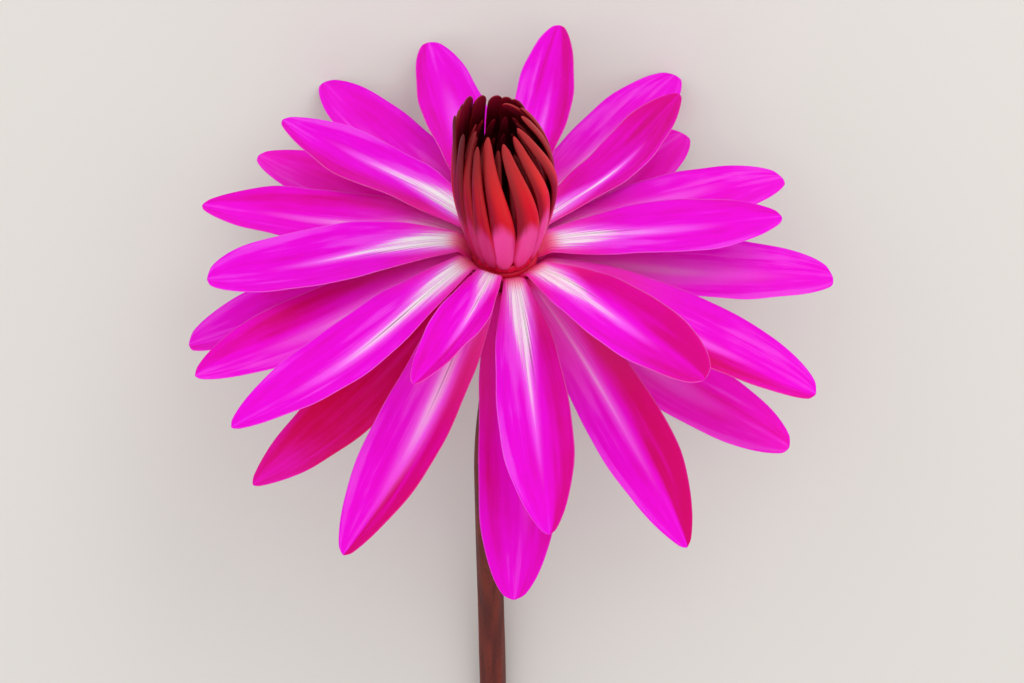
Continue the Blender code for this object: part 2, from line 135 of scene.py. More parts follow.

# How each blade is coloured, in the same order. Pale fan from the root: strength, side it leans to,
# length. Streak along the midrib: strength, side, reach, half width. Blushing, partly the blade's own
# crimson and partly painted shade: towards the lower azimuth, towards the higher one, all over, and by
# how much more at the tip. Last, how blunt the tip is, and how far an edge rolls up near the tip: the
# one towards the higher azimuth, or the other if negative.
BLADE_LOOKS = (
    ((0.95, 0.00, 0.40), (0.66, 0.05, 0.92, 0.18), (0.05, 0.30, 0.00, 0.10), 0.5, 0.0),
    ((0.75, -0.10, 0.36), (0.84, -0.22, 0.78, 0.13), (0.22, 0.25, 0.34, 0.30), 0.0, 1.6),
    ((0.60, 0.00, 0.34), (0.62, -0.10, 0.86, 0.15), (0.65, 0.00, 0.00, 0.18), 0.3, 1.8),
    ((0.45, 0.00, 0.40), (0.52, 0.00, 0.95, 0.36), (0.15, 0.50, 0.00, 0.00), 0.6, 0.0),
    ((1.00, -0.25, 0.48), (0.84, -0.15, 0.90, 0.18), (0.05, 0.70, 0.00, -0.25), 0.3, 0.0),
    ((1.00, -0.10, 0.48), (0.84, 0.00, 0.88, 0.15), (0.00, 0.25, 0.00, -0.10), 0.9, -1.0),
    ((1.00, 0.05, 0.48), (0.84, 0.18, 0.97, 0.26), (0.15, 0.15, 0.00, 0.00), 0.2, 0.0),
    ((0.90, 0.05, 0.46), (0.82, 0.18, 0.92, 0.17), (0.28, 0.50, 0.00, 0.10), 0.1, 1.6),
    ((1.00, 0.00, 0.52), (0.82, 0.00, 0.97, 0.15), (0.00, 0.75, 0.00, 0.12), 0.3, 0.0),
    ((1.00, 0.05, 0.48), (0.84, -0.05, 0.90, 0.17), (0.22, 0.85, 0.00, 0.50), 1.0, 1.5),
    ((0.95, 0.20, 0.38), (0.66, 0.25, 0.92, 0.24), (0.22, 0.10, 0.00, -0.10), 0.8, 0.0),
    ((0.85, 0.12, 0.42), (0.76, 0.12, 0.90, 0.20), (0.08, 0.00, 0.00, 0.00), 0.7, 0.0),
    ((0.45, 0.00, 0.34), (0.52, 0.30, 0.90, 0.30), (0.12, 0.08, 0.00, 0.10), 0.6, 0.0),
    ((0.90, -0.28, 0.40), (0.88, 0.05, 0.97, 0.14), (0.45, 0.25, 0.00, 0.00), 0.3, 0.0),
    ((0.45, 0.10, 0.40), (0.70, 0.15, 0.96, 0.32), (0.68, 0.06, 0.00, -0.20), 0.3, -1.0),
    ((0.75, 0.00, 0.50), (0.88, 0.16, 1.05, 0.32), (0.05, 0.80, 0.00, 0.00), 0.3, 2.4),
    ((0.55, 0.00, 0.52), (0.74, 0.00, 0.96, 0.16), (0.00, 1.00, 0.00, 0.10), 0.1, 2.0),
    ((0.85, 0.16, 0.44), (0.80, -0.14, 0.97, 0.18), (1.00, 0.20, 0.00, -0.40), 0.8, -1.2),
    ((0.30, 0.00, 0.40), (0.66, -0.05, 1.05, 0.46), (0.00, 0.00, 0.00, 0.00), 1.0, 0.0),
    ((0.30, 0.00, 0.30), (0.30, 0.00, 0.80, 0.16), (0.30, 0.30, 0.10, 0.00), 0.4, 0.0),
    ((0.40, 0.00, 0.34), (0.34, 0.00, 0.85, 0.24), (0.20, 0.60, 0.15, -0.40), 0.9, 0.0),
    ((0.35, 0.00, 0.36), (0.52, 0.25, 0.97, 0.30), (0.46, 0.55, 0.04, -0.26), 0.7, 0.8),
    ((0.30, 0.00, 0.30), (0.52, 0.00, 0.92, 0.30), (0.10, 0.10, 0.00, 0.00), 0.8, 0.0),
    ((0.30, 0.00, 0.30), (0.38, 0.00, 0.85, 0.22), (0.30, 0.05, 0.04, -0.10), 0.5, 0.0),
    ((0.15, 0.00, 0.30), (0.14, 0.00, 0.80, 0.18), (0.30, 0.15, 0.68, -0.42), 0.0, 0.0),
    ((0.30, 0.00, 0.30), (0.66, 0.05, 0.96, 0.40), (0.00, 0.15, 0.00, 0.00), 0.8, 1.2),
)

# Outer stamens: azimuth of the foot, turn from foot to tip, power that delays the turn, greatest width,
# share of it left at the tip, radius at the tip, height, how far the belly stands back, and painted
# light, from maroon in shade to orange red where lit
OUTER_STAMENS = (
    (0, -31, 2.2, 5.4, 0.30, 3.6, 45.5, 0.0, 0.62),
    (13, 7, 2.0, 6.4, 0.40, 4.4, 46.0, 0.5, 0.85),
    (27, 19, 3.0, 6.8, 0.44, 6.1, 46.0, 0.0, 0.92),
    (42, 44, 6.0, 7.2, 0.55, 4.8, 47.2, 0.5, 0.90),
    (60, 10, 2.0, 5.6, 0.55, 7.5, 46.5, 0.0, 0.30),
    (79, 8, 1.3, 5.6, 0.60, 8.0, 46.5, 0.5, 0.35),
    (99, 6, 1.3, 5.2, 0.70, 8.2, 47.0, 0.0, 0.30),
    (125, 4, 1.3, 5.6, 0.72, 9.4, 47.5, 0.5, 0.28),
    (143, 2, 1.3, 6.2, 0.70, 11.0, 48.0, 0.0, 0.22),
    (162, -4, 1.3, 5.4, 0.50, 11.3, 47.5, 0.5, 0.15),
    (180, -12, 1.3, 5.0, 0.36, 11.2, 48.0, 0.0, 0.30),
    (198, -18, 1.3, 4.6, 0.30, 12.2, 48.0, 0.5, 0.12),
    (214, -10, 1.3, 4.4, 0.30, 11.0, 46.0, 0.0, 0.12),
    (230, -24, 1.8, 4.6, 0.30, 7.8, 46.0, 0.5, 0.25),
    (248, -20, 1.8, 4.8, 0.28, 9.8, 44.5, 0.0, 0.32),
    (269, -35, 3.2, 6.8, 0.28, 6.8, 46.0, 0.5, 0.66),
    (301, -33, 3.4, 7.0, 0.26, 6.9, 45.0, 0.0, 0.60),
    (330, -32, 2.6, 5.8, 0.28, 4.8, 45.0, 0.5, 0.95),
)

# Each stamen ring: inner and outer radius, bottom and top of the ring, radius at the belly, thickness
CROWNS = {
    "stamens_outer": (7.2, 8.6, -1.2, 1.2, 12.8, 1.7),
    "stamens_middle": (5.8, 6.9, 0.5, 1.7, 10.2, 1.2),
    "stamens_inner": (4.7, 5.6, 2.0, 3.2, 7.7, 1.1),
}
# Hidden whorls: number of stamens, greatest width, height, azimuth of the first one, and how much
# further out the tips stand on the open side, and further in on the other
HIDDEN_STAMENS = {
    "stamens_middle": (13, 3.6, 42.5, 14.0, 2.0),
    "stamens_inner": (11, 3.0, 37.5, 3.0, 1.1),
}
OPEN_SIDE_AZIMUTH = 195.0
BELLY_AT = 0.55            # share of a stamen's height
FOOT_SHARE = 0.5           # a foot's width against the greatest
STAMEN_TIP_ROUND = 0.07    # share of the length that rounds off the tip
STAMEN_ROWS = 44
STAMEN_TIP_ROWS = 12
STAMEN_ROUND = 20
COLLAR_ROUND = 16          # points round the section of the ring that carries a whorl
RING_SIDES = 192
SEED = 11

# Receptacle profile, radius and height, from the stem joint up to the seat of the stigma disc
RECEPTACLE = (
    (0.0, -17.0), (4.3, -17.0), (5.6, -15.2), (6.8, -13.2), (7.6, -10.2), (8.2, -7.0), (8.7, -3.6),
    (8.8, -2.3), (8.5, -1.6), (6.7, -1.5), (6.7, 0.1), (5.5, 0.2), (5.5, 1.6), (4.4, 1.7), (4.4, 3.2),
    (0.0, 3.3),
)
RECEPTACLE_RIBS = 26
RECEPTACLE_RIB_SHARE = 0.012
STIGMA_DISC = (
    (0.0, 3.6), (3.9, 3.6), (4.2, 4.5), (3.8, 5.3), (2.2, 4.6), (1.4, 5.0), (1.0, 6.0), (0.0, 6.3),
)
DISC_RAYS = 16
DISC_RAY_HEIGHT = 0.16

# Stem
STEM_RADIUS = 4.0
STEM_JOINT = -17.4         # along the bloom's axis
STEM_FLAT_LENGTH = 38.0    # the run that lies on the surface
STEM_BOW = -6.0            # sideways
STEM_BOW_LENGTH = 60.0
STEM_RETURN_LENGTH = 310.0
STEM_ROWS = 260
STEM_ROUND = 96
STEM_RIBS = 7
STEM_RIB_DEPTH = 0.07
STEM_SWELL = 0.05
STEM_FLARE = 0.28          # where it joins the receptacle
CUT_RINGS = 43
CUT_CENTRE = 0.01          # share of the radius where the last ring closes
CUT_RIM = 0.12             # how far the rim is rounded back
CANAL_DEPTH = 7.0
# Air canals in the cut end: distance from the centre, angle, radius
CANALS = (
    (1.55, 45, 0.78), (1.55, 135, 0.74), (1.55, 225, 0.80), (1.55, 315, 0.76),
    (2.9, 0, 0.30), (2.95, 90, 0.28), (2.9, 180, 0.32), (2.95, 270, 0.30),
)

# The camera stands as in the photograph, seen from the bloom
FRAME_WIDTH = 1024
FRAME_HEIGHT = 683
LENS = 85.0
SENSOR_WIDTH = 36.0
CAMERA_RISE = 48.0         # above the plane of the bloom
CAMERA_DISTANCE = 632.9    # from the bloom's centre
BLOOM_PIXEL = (504.5, 246.0)

# Colours of the blades on a screen, 0 to 255, then the share of the half width from which the root
# colour is painted along the flanks as shade tint, and the share of the length up to which it is
PETAL_UPPER = {
    "Lit": (228, 1, 216), "Blush And Shade": (198, 0, 132), "Lilac": (242, 92, 238), "Pale": (255, 234, 252),
    "Thread": (122, 40, 100), "Root And Shade Tint": (240, 48, 124),
    "Under": (206, 10, 160), "Under Line": (232, 70, 200),
}
# The lower whorls' lit, pale and root colours are lighter or pinker than the inner whorl's: painted light,
# for the light that comes through the petals above them
PETAL_LOWER = PETAL_UPPER | {
    "Lit": (234, 1, 214), "Blush And Shade": (197, 0, 107), "Lilac": (246, 88, 228), "Pale": (255, 200, 240),
    "Root And Shade Tint": (250, 66, 166),
}
# The sepals' lit colour is lighter still, painted light for the same reason
SEPAL_RED = {
    "Lit": (242, 14, 202), "Blush And Shade": (204, 0, 84), "Lilac": (242, 84, 214), "Pale": (248, 160, 220),
    "Thread": (170, 40, 100), "Root And Shade Tint": (204, 4, 48),
    "Under": (104, 26, 44), "Under Line": (150, 74, 70),
}
BLADE_FINISHES = {
    "petal_upper": (PETAL_UPPER, 0.35, 0.36),
    "petal_lower": (PETAL_LOWER, -1.1, 0.56),
    "sepal_red": (SEPAL_RED, -0.6, 0.5),
}

# Square lamps: place from the bloom and size in metres, power, colour
LAMPS = {
    "key_light": ((0.35, 0.72, 0.62), 0.55, 2.3, (1.0, 0.985, 0.96)),
    "fill_light": ((-0.35, -0.35, 1.1), 0.9, 0.8, (1.0, 1.0, 1.0)),
}
ROOM_COLOUR = (1.0, 0.985, 0.97, 1.0)
ROOM_STRENGTH = 0.98
TABLE_HALF_SIDE = 2.0      # metres
TABLE_COLOUR = (216, 214, 210)


def smooth_step(x):
    """Ease from 0 to 1."""
    x = np.clip(x, 0.0, 1.0)
    return x * x * (3.0 - 2.0 * x)


def unit(vectors):
    """Each vector at length 1."""
    return vectors / np.linalg.norm(vectors, axis=-1, keepdims=True)


def about_axis(x, y, angle):
    """A point of the plan, turned about the axis."""
    return x * np.cos(angle) - y * np.sin(angle), x * np.sin(angle) + y * np.cos(angle)


def signed_power(x, power):
    """A power of x that keeps its sign: under 1 it squares off a round section."""
    return np.sign(x) * np.abs(x) ** power


def once_round(count):
    """Angles evenly round a section, as a row."""
    return TAU * np.arange(count)[None, :] / count


def turned_rings(profile, sides):
    """Rings of a turned shape: each point of the profile, radius and height, goes round the axis."""
    angle = np.linspace(0.0, TAU, sides, endpoint=False)[None, :]
    radius, height = np.array(profile, float).T[:, :, None]
    return np.stack(np.broadcast_arrays(radius * np.cos(angle), radius * np.sin(angle), height), -1)


def bloom_matrix():
    """Where the bloom's own frame lies: tipped over, and set so that the receptacle fills its box."""
    tip = Matrix.Rotation(math.radians(AXIS_RISE - 90.0), 4, "X")
    points = turned_rings(RECEPTACLE, 48).reshape(-1, 3) @ np.array(tip.to_3x3()).T
    low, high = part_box("receptacle")
    middle = 0.5 * (points.min(axis=0) + points.max(axis=0)) * MM
    return Matrix.Translation(0.5 * (low + high) - Vector(middle)) @ tip


BLOOM = bloom_matrix()


def laid_down(points):
    """Points of the bloom's frame, in millimetres, in the world, in metres."""
    return (points * MM) @ np.array(BLOOM.to_3x3()).T + np.array(BLOOM.translation)


def placed(name, data):
    """A new object of the scene that holds the data."""
    item = bpy.data.objects.new(name, data)
    bpy.context.collection.objects.link(item)
    return item


# Meshes from rings

def skin_of(rings, hoop=False, **marks):
    """A skin of rings. A pole closes each end, or in a hoop the last ring joins the first one. Marks
    are named vectors for each point."""
    rows, count = rings.shape[:2]
    index = np.arange(rows * count).reshape(rows, count)
    if hoop:
        index = np.concatenate([index, index[:1]])
    beside = np.roll(index, -1, axis=1)
    quads = np.stack([index[:-1], beside[:-1], beside[1:], index[1:]], -1).reshape(-1, 4)
    first = np.stack([beside[0], index[0], np.full(count, rows * count)], -1)
    last = np.stack([index[-1], beside[-1], np.full(count, rows * count + 1)], -1)
    fans = np.zeros((0, 3), int) if hoop else np.concatenate([first, last])

    def flat(values):
        ends = [] if hoop else [values[:1].mean(axis=1), values[-1:].mean(axis=1)]
        return np.concatenate([values.reshape(-1, 3), *ends])

    return flat(rings), quads, fans, {name: flat(value) for name, value in marks.items()}


def marks_like(rings, *values):
    """Three values for each point of the rings, as vectors."""
    return np.stack([np.broadcast_to(value, rings.shape[:2]) for value in values], -1)


def add_piece(node, skins, material):
    """A smooth mesh of one or more skins, its marks kept as attributes, in place of a solid."""
    name = f"{node}_skin"
    offsets = np.cumsum([0] + [len(skin[0]) for skin in skins[:-1]])
    points = np.concatenate([skin[0] for skin in skins])
    quads, fans = (
        np.concatenate([skin[kind] + offset for skin, offset in zip(skins, offsets)]) for kind in (1, 2)
    )
    mesh = bpy.data.meshes.new(name)
    corners = np.concatenate([quads.ravel(), fans.ravel()])
    sides = np.repeat((4, 3), (len(quads), len(fans)))
    mesh.vertices.add(len(points))
    mesh.vertices.foreach_set("co", points.astype(np.float32).ravel())
    mesh.loops.add(len(corners))
    mesh.loops.foreach_set("vertex_index", corners.astype(np.int32))
    mesh.polygons.add(len(sides))
    mesh.polygons.foreach_set("loop_start", (np.cumsum(sides) - sides).astype(np.int32))
    mesh.update(calc_edges=True)
    for mark in skins[0][3]:
        attribute = mesh.attributes.new(mark, "FLOAT_VECTOR", "POINT")
        values = np.concatenate([skin[3][mark] for skin in skins])
        attribute.data.foreach_set("vector", values.astype(np.float32).ravel())
    mesh.shade_smooth()
    mesh.materials.append(material)
    piece = placed(name, mesh)
    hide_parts(node)
    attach(piece, "root")


# Petals and sepals

def rows_along(count, end_rows, end_share):
    """Shares of a length from 0 to just under 1, crowding where the tip rounds off."""
    body = np.linspace(0.0, 1.0 - end_share, count - end_rows)
    quarter = 0.5 * math.pi * np.arange(1, end_rows + 1) / (end_rows + 1)
    return np.concatenate([body, 1.0 - end_share * (1.0 - np.sin(quarter))])


def closing_at(along, share):
    """A quarter ellipse that falls from 1 to 0 over the last share of the length."""
    return np.sqrt(1.0 - np.clip((along - 1.0 + share) / share, 0, 1) ** 2)


def blade_half_width(along, widest, root, root_angle, blunt):
    """Half width of a blade: a swelling from the root, sooner where the root takes more of its ring,
    then an oval that is more or less pointed."""
    swelling = np.sin(0.5 * math.pi * np.clip(along / WIDEST_AT, 0, 1))
    power = min(max(1.2 - 0.09 * (root_angle - 13.5), 0.75), 1.2)
    rise = root + (widest - root) * swelling ** power
    past = np.clip((along - WIDEST_AT) / (1.0 - WIDEST_AT), 0, 1)
    fall = TIP_HALF_WIDTH + (widest - TIP_HALF_WIDTH) * (1.0 - past ** 2.1) ** (0.9 - 0.4 * blunt)
    return np.where(along < WIDEST_AT, rise, fall) * closing_at(along, TIP_ROUND)


def midrib(along, rise, arch, length):
    """Side view of the midrib: a circular arc, steepest at the root."""
    slope = math.radians(rise) + math.radians(arch) * (0.5 - along)
    if arch == 0:
        return along * length * np.cos(slope), along * length * np.sin(slope), slope
    first = math.radians(rise + 0.5 * arch)
    bend = math.radians(arch)
    out = length * (math.sin(first) - np.sin(slope)) / bend
    up = length * (np.cos(slope) - math.cos(first)) / bend
    return out, up, slope


def rolling_at(along):
    """How much of its roll an edge has, eased in along the blade."""
    return smooth_step((along - ROLL_FROM) / (ROLL_UNTIL - ROLL_FROM))


def blade_relief(along, across, roll, draws):
    """Height above the plain section: a groove along the midrib, soft pleats beside it, slow waves
    along both edges and one edge that rolls up, all fading out at the root and at the tip."""
    free = smooth_step(along / 0.3) * (1.0 - along ** 8)
    groove = -GROOVE_DEPTH * np.exp(-(across / GROOVE_WIDTH) ** 2) * (1.0 - 0.7 * along)
    pleats = PLEAT_HEIGHT * np.cos(TAU * PLEATS * across + draws[0]) * (1.0 - across ** 4)
    phase = np.where(across > 0, draws[1], draws[2])
    slow = np.sin(TAU * (1.3 + draws[3]) * along + phase) * across ** 4
    quick = np.sin(TAU * (4.0 + draws[3]) * along + 2.0 * phase) * across ** 6
    outside = smooth_step((np.sign(roll) * across - ROLL_INSIDE) / (1.0 - ROLL_INSIDE))
    rolled = abs(roll) * outside * rolling_at(along)
    return (groove + pleats + EDGE_WAVE * (slow + 0.3 * quick) + rolled) * free


def blade_surface(spec, blunt, roll, draws, along, across):
    """Middle surface of a blade. Its midrib is an arc from the ring, its section is a shallow arc
    across, and its root follows the receptacle's round."""
    whorl, azimuth, rise, reach, half_width, arch, cup, bow, root_turn, root_angle = spec
    ring_radius, ring_height, _ = WHORLS[whorl]
    out, up, slope = midrib(along, rise, arch, reach - ring_radius)
    root_width = math.radians(root_angle) * ring_radius
    width = blade_half_width(along, half_width, root_width, root_angle, blunt)
    curl = cup * np.clip(along / 0.35, 0.02, 1.0)
    lateral = width * np.sin(curl * across) / curl + bow * np.sin(math.pi * along ** 0.9)
    phase = np.where(across > 0, draws[1], draws[2]) - draws[0]
    slow = np.sin(TAU * (1.8 + draws[3]) * along + phase)
    quick = np.sin(TAU * (4.6 + draws[3]) * along + phase)
    wander = (slow + 0.4 * quick) * smooth_step(along / 0.3) * (1.0 - along ** 6)
    lateral = lateral + EDGE_WANDER * wander * across ** 4
    lift = width * (1.0 - np.cos(curl * across)) / curl + blade_relief(along, across, roll, draws)
    radius = ring_radius + out - lift * np.sin(slope)
    height = ring_height + up + lift * np.cos(slope)
    lifted = ROOT_LIFT - ROOT_LIFT_LEAN * math.cos(math.radians(azimuth - ROOT_LIFT_AZIMUTH))
    fading = smooth_step((out - ROOT_LIFT_FROM) / (ROOT_LIFT_UNTIL - ROOT_LIFT_FROM))
    height = height + lifted * smooth_step(out / ROOT_CLIMB) * (1.0 - fading)
    free = smooth_step(along / 0.2)
    angle = lateral / np.maximum(radius, 1.0)
    x = radius * (1.0 - free) * np.cos(angle) + radius * free - ring_radius
    y = radius * (1.0 - free) * np.sin(angle) + lateral * free
    x = x - ROOT_SINK * (1.0 - smooth_step(along / 0.06))
    x, y = about_axis(x, y, -math.radians(root_turn))
    x, y = about_axis(x + ring_radius, y, math.radians(azimuth + root_turn))
    return np.stack([x, y, height], -1)


def blade_tints(along, across, upper, look):
    """Where a blade is pale and where it blushes, partly in its own crimson and partly with painted shade.
    The pale fan is widest at the root and fades along a bell curve; the streak keeps to the midrib and
    thins towards the tip; both lean to one side and are weaker below. The crimson grows towards either
    edge, and grows or fades over the last third. Painted shade deepens it in the fold where an edge rolls
    up."""
    (fan, fan_side, fan_length), (streak, streak_side, reach, half_width), blush_and_shade, _, roll = look
    low, high, whole, at_tip = blush_and_shade
    above = np.where(upper > 0, 1.0, 0.3)
    middle = fan_side + (streak_side - fan_side) * smooth_step(along / 0.4)
    beside = np.abs(across - middle)
    spread = 0.14 + 0.95 * np.exp(-(along / 0.24) ** 1.5)
    fan = fan * above * np.exp(-(along / fan_length) ** 2.6 - (beside / spread) ** 2.4)
    narrow = half_width * (1.25 - 0.75 * along)
    ending = smooth_step((along - 0.35) / (reach - 0.35))
    lasting = smooth_step(along / 0.1) * (1.0 - ending)
    streak = streak * above * np.exp(-(beside / narrow) ** 1.7) * lasting
    sides = low * smooth_step((-across - 0.1) / 0.62) + high * smooth_step((across - 0.1) / 0.62)
    sides = sides * smooth_step((along - 0.04) / 0.2)
    at_tip = at_tip * smooth_step((along - 0.58) / 0.36)
    # Painted shade in the fold where an edge rolls up
    in_fold = np.exp(-((np.sign(roll) * across - FOLD_AT) / FOLD_WIDTH) ** 2)
    fold_shade = FOLD_SHADE * abs(roll) * in_fold * rolling_at(along)
    return fan, streak, np.clip(whole + sides + at_tip + fold_shade, 0.0, 1.0)


def blade_skin(spec, look, draws):
    """A blade as rings round its section: the middle surface offset to both sides by half its
    thickness, which thins to nothing at the edges and at the tip."""
    blunt, roll = look[3:]

    def surface(along, across):
        return blade_surface(spec, blunt, roll, draws, along, across)

    along = rows_along(BLADE_ROWS, BLADE_TIP_ROWS, 2.0 * TIP_ROUND)[:, None]
    turn = once_round(BLADE_ROUND)
    across = np.cos(turn)
    upper = np.sign(np.round(np.sin(turn), 9))
    points = surface(along, across)
    step = 0.003
    inside = np.minimum(along, 1.0 - 2.0 * step)
    lengthwise = surface(inside + step, across) - surface(np.maximum(inside - step, 0.0), across)
    crosswise = surface(inside, across + step) - surface(inside, across - step)
    swell = (MIDRIB_THICKNESS - EDGE_THICKNESS) * (1.0 - across ** 2) * (1.0 - 0.5 * along)
    closing = np.sqrt(1.0 - np.abs(across) ** 24) * closing_at(along, TIP_ROUND)
    half = 0.5 * (EDGE_THICKNESS + swell) * closing
    points = points + unit(np.cross(lengthwise, crosswise)) * (upper * half)[..., None]
    place = marks_like(points, across, along, upper)
    tints = marks_like(points, *blade_tints(along, across, upper, look))
    return skin_of(laid_down(points), place=place, tints=tints)


def add_blades(materials):
    """Every petal and sepal, numbered round its whorl."""
    rng = np.random.default_rng(SEED)
    looks = iter(BLADE_LOOKS)
    for whorl, blades in BLADES.items():
        slot = WHORLS[whorl][2]
        for number, blade in enumerate(blades, 1):
            draws = (*rng.uniform(0.0, TAU, 3), rng.uniform(0.0, 1.0))
            skin = blade_skin((whorl, *blade), next(looks), draws)
            add_piece(f"{whorl}_{number}", [skin], materials[slot])


# Stamens

def stamen_skin(spec, root_radius, root_height, belly_radius, thickness):
    """A stamen as rings: a tapering strap, round outside and flatter inside, bulged out at its belly,
    leaning from foot to tip, and bent in at its tip, where a rounded end closes it."""
    azimuth, turned, delay, widest, tip_share, tip_radius, height, inset, painted_light = spec
    belly_radius = belly_radius - inset
    along = rows_along(STAMEN_ROWS, STAMEN_TIP_ROWS, STAMEN_TIP_ROUND)[:, None]
    swell = np.sin(0.5 * math.pi * np.clip(along / BELLY_AT, 0, 1))
    bend = np.clip((along - BELLY_AT) / (1.0 - BELLY_AT), 0, 1) ** 2
    radius = root_radius + (belly_radius - root_radius) * swell - (belly_radius - tip_radius) * bend
    level = root_height + (height - root_height) * along
    closing = closing_at(along, STAMEN_TIP_ROUND)
    taper = 1.0 - (1.0 - tip_share) * np.clip((along - 0.15) / 0.85, 0, 1) ** 2
    width = widest * (FOOT_SHARE + (1.0 - FOOT_SHARE) * smooth_step(along / 0.15)) * taper * closing
    depth = thickness * (0.75 + 0.25 * smooth_step(along / 0.1)) * (1.0 - 0.35 * along) * closing
    slope = np.arctan2(np.gradient(level, along[:, 0], axis=0), np.gradient(radius, along[:, 0], axis=0))
    turn = -once_round(STAMEN_ROUND)
    across, back = np.cos(turn), np.sin(turn)
    side = 0.5 * signed_power(across, 0.9) * width
    side = side + 0.12 * np.sin(7.0 * along + azimuth) * np.sin(math.pi * along)
    out = 0.5 * np.where(back > 0, 1.15, 0.85) * signed_power(back, 0.8) * depth
    out = out - side ** 2 / (2.0 * radius)
    bearing = math.radians(azimuth) + math.radians(turned) * along ** delay
    x, y = about_axis(radius + out * np.sin(slope), side, bearing)
    points = np.stack([x, y, level - out * np.cos(slope)], -1)
    place = marks_like(points, across, along, back)
    return skin_of(laid_down(points), place=place, tints=marks_like(points, painted_light, 0.0, 0.0))


def collar_skin(inner, outer, bottom, top, lobes):
    """The ring that a whorl springs from: a round-edged band that swells once for each stamen and
    rises and falls in slow waves."""
    around = np.linspace(0.0, TAU, RING_SIDES, endpoint=False)[:, None]
    section = -once_round(COLLAR_ROUND)
    side, lift = signed_power(np.cos(section), 0.7), signed_power(np.sin(section), 0.7)
    waves = 0.5 * np.sin(5.0 * around + 0.7) + 0.5 * np.sin(8.0 * around + 2.1)
    swell = (0.14 * np.cos(lobes * around) + 0.22 * waves) * np.clip(side, 0, 1)
    radius = 0.5 * (inner + outer) + 0.5 * (outer - inner) * side + swell
    height = 0.5 * (bottom + top) + 0.5 * (top - bottom) * lift + 0.22 * waves * np.clip(lift, 0, 1)
    points = np.stack([radius * np.cos(around), radius * np.sin(around), height], -1)
    # The ring's painted light is halfway between shade and lit
    place, tints = marks_like(points, side, -0.2, side), marks_like(points, 0.5, 0.0, 0.0)
    return skin_of(laid_down(points), hoop=True, place=place, tints=tints)


def hidden_stamens(name):
    """Specs of a hidden whorl, its tips bent in less on the open side, with small seeded changes."""
    count, widest, height, start, spread = HIDDEN_STAMENS[name]
    belly_radius = CROWNS[name][4]
    rng = np.random.default_rng(SEED)
    specs = []
    for number in range(count):
        azimuth = start + 360.0 * number / count + rng.uniform(-3, 3)
        towards_open = math.cos(math.radians(azimuth - OPEN_SIDE_AZIMUTH))
        tip_radius = 0.5 * belly_radius + spread * towards_open
        width = widest * rng.uniform(0.9, 1.1)
        tip_height = height + rng.uniform(-1.5, 1.5)
        # The last value is the painted light, low for these whorls deep in the cone
        specs.append((azimuth, -10, 1.3, width, 0.35, tip_radius, tip_height, 0.0, 0.3))
    return specs


def add_crown(name, specs, material):
    """One whorl of stamens with the ring that carries it."""
    inner, outer, bottom, top, belly, thickness = CROWNS[name]
    foot = (0.5 * (inner + outer), 0.5 * (bottom + top))
    skins = [stamen_skin(spec, *foot, belly, thickness) for spec in specs]
    skins.append(collar_skin(inner, outer, bottom, top, len(specs)))
    add_piece(name, skins, material)


# Receptacle, stigma disc and stem

def rounded_rings(profile, spacing, softness):
    """Rings of a turned shape, and each point's angle round the axis. The profile is drawn finely and
    averaged over a short window, which rounds its corners."""
    corners = np.array(profile, float)
    steps = np.linalg.norm(np.diff(corners, axis=0), axis=1)
    distance = np.concatenate([[0.0], np.cumsum(steps)])
    places = np.arange(0.0, distance[-1], spacing)
    fine = np.stack([np.interp(places, distance, corners[:, axis]) for axis in (0, 1)], -1)
    window = int(softness / spacing)
    padded = np.pad(fine, ((window, window), (0, 0)), mode="edge")
    kernel = np.hanning(2 * window + 3)[1:-1]
    kernel /= kernel.sum()
    rounded = np.stack([np.convolve(padded[:, axis], kernel, mode="valid") for axis in (0, 1)], -1)
    rings = turned_rings(rounded[1:], RING_SIDES)
    return rings, np.arctan2(rings[..., 1], rings[..., 0])


def add_receptacle(material):
    """The fleshy seat of every blade: a turned shape with faint ribs below the rings."""
    rings, around = rounded_rings(RECEPTACLE, 0.25, 0.5)
    below = smooth_step((-rings[..., 2] - 3.0) / 4.0)
    ribs = RECEPTACLE_RIB_SHARE * below * np.cos(RECEPTACLE_RIBS * around)
    rings[..., :2] *= (1.0 + ribs)[..., None]
    place = marks_like(rings, 0.0, rings[..., 2], 0.0)
    add_piece("receptacle", [skin_of(laid_down(rings), place=place)], material)


def add_stigma_disc(material):
    """The dish under the stamens: a turned shape whose rim and floor carry raised rays."""
    rings, around = rounded_rings(STIGMA_DISC, 0.12, 0.25)
    radius = np.hypot(rings[..., 0], rings[..., 1])
    on_top = smooth_step((rings[..., 2] - 4.2) / 0.4) * smooth_step((radius - 1.2) / 0.8)
    rings[..., 2] += DISC_RAY_HEIGHT * on_top * np.cos(DISC_RAYS * around)
    place = marks_like(rings, 0.0, 0.0, on_top)
    add_piece("stigma_disc", [skin_of(laid_down(rings), place=place)], material)


def stem_route(count):
    """Centre line of the stem, before the flower is centred: down along the bloom's axis, round to the
    surface on one arc, then along it, with a slow bow sideways."""
    rise = math.radians(AXIS_RISE)
    start_y = STEM_JOINT * math.cos(rise)
    start_z = BLOOM.translation.z / MM + STEM_JOINT * math.sin(rise)
    bend_radius = (start_z - STEM_RADIUS) / (1.0 - math.cos(rise))
    arc_length = bend_radius * rise
    distance = np.linspace(0.0, arc_length + STEM_FLAT_LENGTH, count)
    turned = np.clip(distance / bend_radius, 0.0, rise)
    flat = np.maximum(distance - arc_length, 0.0)
    y = start_y - bend_radius * (math.sin(rise) - np.sin(rise - turned)) - flat
    z = start_z - bend_radius * (np.cos(rise - turned) - math.cos(rise))
    run = start_y - y
    x = STEM_BOW * smooth_step(run / STEM_BOW_LENGTH) * (1.0 - run / STEM_RETURN_LENGTH)
    return np.stack([x, y, z], -1), distance


